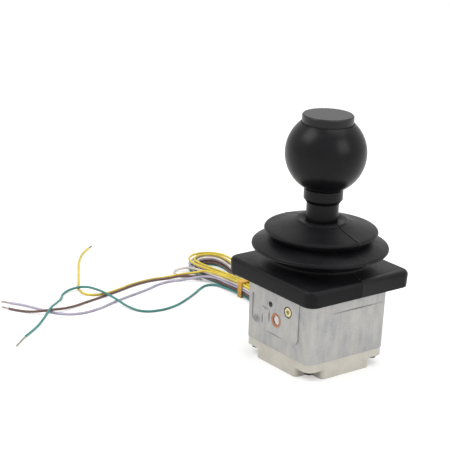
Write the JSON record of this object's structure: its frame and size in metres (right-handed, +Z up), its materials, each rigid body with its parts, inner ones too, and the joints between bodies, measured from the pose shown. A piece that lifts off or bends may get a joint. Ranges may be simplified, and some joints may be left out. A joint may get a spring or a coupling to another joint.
{
  "type": "industrial joystick",
  "caption": "Two-axis panel joystick: ball knob with thumb button, rubber bellows with square skirt, cast square housing, moulded bottom cover and loose leads.",
  "frame": {"origin": "on the lever's axis at the lowest face of the bottom cover", "axes": "+Z up along the centred lever; +Y from the face with the screw and the pad to the plain rear face, along the main shafts; the leads leave towards -X"},
  "size_m": [0.258, 0.1825, 0.1387],
  "materials": {
    "die_casting": "raw die casting, matt, slightly blotched",
    "cover_moulding": "matt warm light grey",
    "bellows_rubber": "matt black",
    "knob_plastic": "fine satin black",
    "button_plastic": "turned satin black",
    "ground_steel": "bright ground",
    "spring_steel": "drawn wire",
    "black_steel": "black oxide",
    "plated_steel": "yellowish zinc plate",
    "sintered_bronze": "sintered bronze",
    "zinc_casting": "tumbled casting",
    "board_laminate": "solder mask",
    "chip_epoxy": "matt",
    "ivory_nylon": "semi-matt",
    "magnet_nickel": "nickel plate",
    "red_insulation": "semi-matt",
    "mixed_insulation": "semi-matt leads of several colours",
    "yellow_insulation": "semi-matt",
    "brown_insulation": "semi-matt",
    "grey_insulation": "semi-matt",
    "green_insulation": "semi-matt",
    "white_insulation": "semi-matt",
    "amber_tie": "semi-matt"
  },
  "bodies": {
    "base": {"housing": "die_casting", "bottom_cover": "cover_moulding", "cover_screws": "black_steel", "gate_plate": "zinc_casting", "gate_screws": "black_steel", "front_bush": "sintered_bronze", "rear_bush": "sintered_bronze", "spring_post": "ground_steel", "post_screw": "plated_steel", "rubber_bellows": "bellows_rubber", "circuit_board": "board_laminate", "hall_sensor": "chip_epoxy", "board_screws": "black_steel", "lead_connector": "ivory_nylon", "cable_grommet": "bellows_rubber", "inner_leads": "mixed_insulation", "flex_lead": "red_insulation", "lead_bundle": "mixed_insulation", "wire_hank": "mixed_insulation", "hank_tie": "amber_tie", "yellow_lead": "yellow_insulation", "brown_lead": "brown_insulation", "grey_lead": "grey_insulation", "green_lead": "green_insulation", "white_lead": "white_insulation"},
    "gimbal": {"gimbal_ring": "zinc_casting", "front_shaft": "ground_steel", "rear_shaft": "ground_steel", "cross_pin": "ground_steel", "pin_circlips": "black_steel", "drive_pin": "ground_steel", "main_spring": "spring_steel", "cross_spring": "spring_steel"},
    "lever": {"lever_hub": "zinc_casting", "hub_pin": "ground_steel", "set_screw": "black_steel", "lever_rod": "ground_steel", "stem_sleeve": "knob_plastic", "knob_collar": "knob_plastic", "knob_ball": "knob_plastic", "guide_plate": "black_steel", "microswitch": "chip_epoxy", "button_leads": "red_insulation", "magnet_holder": "button_plastic", "magnet": "magnet_nickel", "button_spring": "spring_steel"},
    "button": {"push_button": "button_plastic", "switch_plunger": "red_insulation", "button_clip": "black_steel"}
  },
  "joints": [
    {"name": "main_tilt", "type": "hinge", "parent": "base", "child": "gimbal", "pos_m": [0, 0, 0.0275], "axis": [0, 1, 0], "range_deg": [-20, 20], "stiffness_Nm_per_rad": 0.5, "deforming": ["rubber_bellows", "main_spring"]},
    {"name": "cross_tilt", "type": "hinge", "parent": "gimbal", "child": "lever", "pos_m": [0, 0, 0.0275], "axis": [1, 0, 0], "range_deg": [-20, 20], "stiffness_Nm_per_rad": 0.5, "deforming": ["cross_spring", "flex_lead"]},
    {"name": "button_press", "type": "slide", "parent": "lever", "child": "button", "axis": [0, 0, -1], "range_m": [0, 0.002], "stiffness_N_per_m": 500, "springref_m": -0.002, "deforming": ["button_spring"]}
  ]
}
